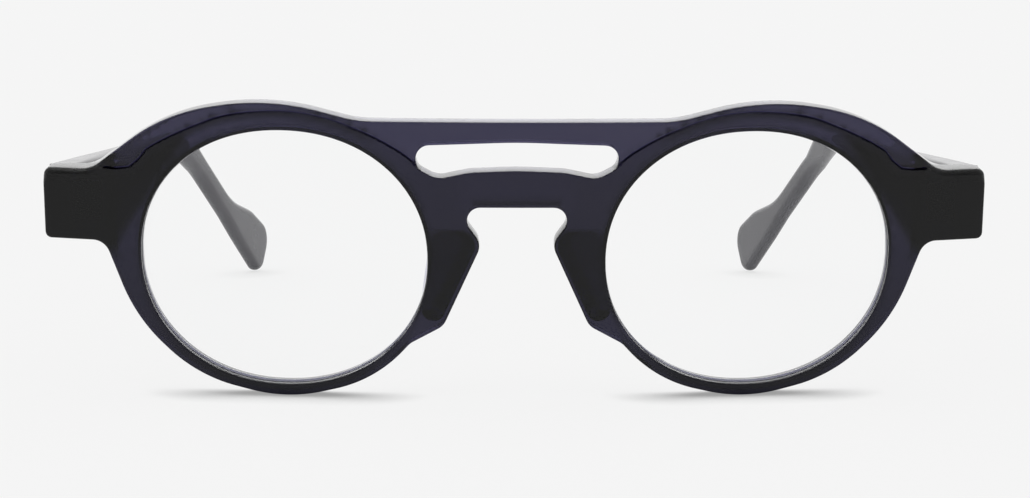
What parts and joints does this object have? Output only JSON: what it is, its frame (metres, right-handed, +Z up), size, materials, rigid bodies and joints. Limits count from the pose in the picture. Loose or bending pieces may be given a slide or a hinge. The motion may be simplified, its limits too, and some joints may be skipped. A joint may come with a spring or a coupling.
{
  "type": "eyeglasses",
  "caption": "Acetate eyeglasses with round clear lenses, a straight top bar over a keyhole bridge, and temples that fold inward on hinges.",
  "frame": {"origin": "under the middle of the glasses, on the table that both rims and both temple tips stand on", "axes": "+X towards the wearer's left, -Y the way the front faces, +Z up"},
  "size_m": [0.14, 0.1536, 0.0439],
  "materials": {
    "acetate": "polished, slightly translucent dark violet navy",
    "lens": "clear, polished",
    "metal": "satin"
  },
  "bodies": {
    "front": {"front_frame": "acetate", "nose_pad_left": "acetate", "nose_pad_right": "acetate", "lens_left": "lens", "lens_right": "lens", "hinge_front_left": "metal", "hinge_front_right": "metal", "hinge_screw_left": "metal", "hinge_screw_right": "metal"},
    "left_temple": {"temple_left": "acetate", "hinge_temple_left": "metal", "temple_core_left": "metal"},
    "right_temple": {"temple_right": "acetate", "hinge_temple_right": "metal", "temple_core_right": "metal"}
  },
  "joints": [
    {"name": "temple_left_fold", "type": "hinge", "parent": "front", "child": "left_temple", "pos_m": [0.06418, -0.06111, 0.02892], "axis": [0, -0.1045, 0.9945], "range_deg": [0, 88]},
    {"name": "temple_right_fold", "type": "hinge", "parent": "front", "child": "right_temple", "pos_m": [-0.06418, -0.06111, 0.02892], "axis": [0, 0.1045, -0.9945], "range_deg": [0, 82]}
  ]
}
